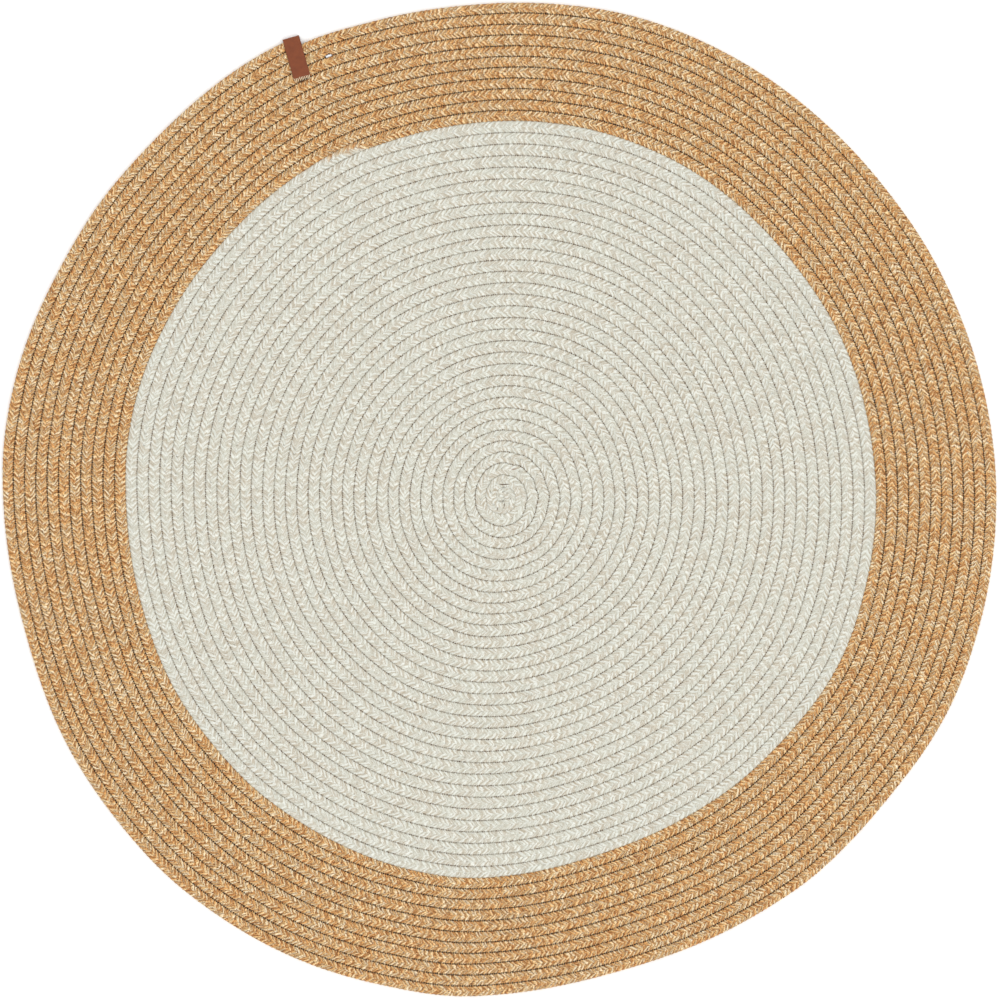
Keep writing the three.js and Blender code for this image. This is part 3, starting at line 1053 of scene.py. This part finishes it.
STITCH_COUNT = 10
STITCH_RADIUS = 0.46 * MM
STITCH_IN = 2.8 * MM
STITCH_OUT = 2.0 * MM
STITCH_SPREAD = 0.35 * MM
STITCH_MARGIN = 1.2 * MM
STITCH_RISE = 0.8 * MM
STITCH_BEND = 0.2 * MM
STITCH_LEANS = np.array([0, 0.1, 0.5, 1])
STITCH_DEPTHS = np.array([0.5, 0.1, 0.3, 0.1]) * MM


def make_tab_stitches():
    """A row of short pale stitches that hold the tab's inner end down."""
    random = np.random.default_rng(17)
    parts = []
    row = TAB_WIDTH / 2 - STITCH_MARGIN
    for side in np.linspace(-row, row, STITCH_COUNT):
        lean, reach = random.normal(0, STITCH_SPREAD, 2)
        out = np.array([STITCH_IN + reach, STITCH_IN - STITCH_RISE, STITCH_BEND, -STITCH_OUT]) - TAB_LENGTH
        sides = side + STITCH_LEANS * lean
        height = np.array([TAB_TOP, TAB_TOP, TAB_TOP, CROWN_HEIGHT]) - STITCH_DEPTHS
        parts.append(thread(from_tab(out, sides, height), STITCH_RADIUS))
    points, triangles = join(parts)
    stitches = make_object("tab_stitches", points, triangles, PALE_THREAD)


CORE_PLUG_RADIUS = 6.5 * MM
CORE_PLUG_TOP = 6.7 * MM
CORE_PLUG_FOOT = 1 * MM
CORE_PLUG_SIDES = 24


def make_core_plug(material):
    """The braid's tucked-in start, which fills the middle of the coil."""
    angle = np.arange(CORE_PLUG_SIDES) / CORE_PLUG_SIDES * 2 * math.pi
    rim = np.stack([np.cos(angle), np.sin(angle)], axis=1) * CORE_PLUG_RADIUS + COIL_MIDDLE
    top = np.column_stack([rim, np.full(CORE_PLUG_SIDES, CORE_PLUG_TOP)])
    foot = np.column_stack([rim, np.full(CORE_PLUG_SIDES, CORE_PLUG_FOOT)])
    middles = [(*COIL_MIDDLE, CORE_PLUG_TOP), (*COIL_MIDDLE, CORE_PLUG_FOOT)]
    points = np.concatenate([top, foot, middles])
    here = np.arange(CORE_PLUG_SIDES)
    after = (here + 1) % CORE_PLUG_SIDES
    low, low_after = here + CORE_PLUG_SIDES, after + CORE_PLUG_SIDES
    top_middle = 2 * CORE_PLUG_SIDES + 0 * here
    foot_middle = top_middle + 1
    sets = [(top_middle, here, after), (foot_middle, low_after, low),
            (here, low, low_after), (here, low_after, after)]
    triangles = np.concatenate([np.stack(corners, axis=1) for corners in sets])
    plug = make_object("cream_core", points, triangles, material)
    flat_uv = (points[:, :2] - COIL_MIDDLE) / (CREAM_WIDTH / 2, CREAM_PITCH)
    pattern = add_uv(plug.data, "Braid", flat_uv[triangles])
    pattern.active_render = True


OPENING_THREADS = 9
OPENING_THREAD_RADIUS = 0.4 * MM
OPENING_THREAD_STEP = 0.8 * MM
OPENING_THREAD_HEIGHT = 5.4 * MM
OPENING_THREAD_SPREAD = 0.3 * MM
OPENING_THREAD_LEANS = np.array([-1.0, -0.3, 0.3, 1.0])
OPENING_THREAD_RISES = np.array([-0.6, 0.0, 0.1, -0.6]) * MM


def make_opening_threads():
    """Pale sewing threads that cross the small opening between two turns."""
    random = np.random.default_rng(19)
    middle = length_at(OPENING_TURN)
    parts = []
    for number in range(OPENING_THREADS):
        length = middle + (number - (OPENING_THREADS - 1) / 2) * OPENING_THREAD_STEP
        lean, rise = random.normal(0, OPENING_THREAD_SPREAD, 2)
        lengths = length + OPENING_THREAD_LEANS * lean
        heights = OPENING_THREAD_HEIGHT + rise + OPENING_THREAD_RISES
        turns = turns_at(lengths)
        radius = seam_radius(turns) + np.linspace(-OPENING_INWARD, OPENING_OUTWARD, len(turns))
        angle = np.radians(START_BEARING - FULL_TURN * turns)
        line = np.stack([COIL_MIDDLE[0] + radius * np.cos(angle),
                         COIL_MIDDLE[1] + radius * np.sin(angle), heights], axis=-1)
        parts.append(thread(line, OPENING_THREAD_RADIUS))
    points, triangles = join(parts)
    threads = make_object("opening_threads", points, triangles, WHITE_THREAD)


# Stage

FLOOR_SIZE = 30.0
FLOOR_DROP = 0.2 * MM
WORLD_STRENGTH = 1.0
SUNS = [("key", 0.9, 135, 35), ("fill", 0.35, -60, 40)]  # name, strength, turn, lean
SUN_SPREAD = 50
FAR_CLIP = 50.0


def make_stage():
    """A white floor, even white surroundings and two soft suns."""
    bpy.ops.mesh.primitive_plane_add(size=FLOOR_SIZE, location=(0, 0, -FLOOR_DROP))
    floor = bpy.context.object
    floor.name = "floor"
    floor.data.materials.append(floor_material())

    world = bpy.data.worlds.new("studio")
    world.use_nodes = True
    world.node_tree.nodes["Background"].inputs[0].default_value = (1, 1, 1, 1)
    world.node_tree.nodes["Background"].inputs[1].default_value = WORLD_STRENGTH
    bpy.context.scene.world = world

    for name, strength, turn, lean in SUNS:
        light = bpy.data.lights.new(name, "SUN")
        light.energy = strength
        light.angle = math.radians(SUN_SPREAD)
        lamp = bpy.data.objects.new(name, light)
        lamp.rotation_euler = (math.radians(lean), 0, math.radians(turn - 90))
        bpy.context.scene.collection.objects.link(lamp)
    bpy.context.scene.view_settings.view_transform = "Standard"


def make_camera():
    """A camera straight above, which frames the rug as the photograph does."""
    data = bpy.data.cameras.new("camera")
    data.sensor_width = SENSOR
    data.lens = SENSOR * (VIEW_HEIGHT - CROWN_HEIGHT) / VIEW_WIDTH
    data.clip_end = FAR_CLIP
    camera = bpy.data.objects.new("camera", data)
    camera.location = (*VIEW_MIDDLE, VIEW_HEIGHT)
    bpy.context.scene.collection.objects.link(camera)
    bpy.context.scene.camera = camera


PALE_THREAD = thread_material("pale_thread", (212, 192, 154), (240, 226, 196))
WHITE_THREAD = thread_material("white_thread", (236, 238, 240), (250, 251, 252))
make_stage()
make_camera()
make_braids()
make_tab()
make_tab_stitches()
make_opening_threads()
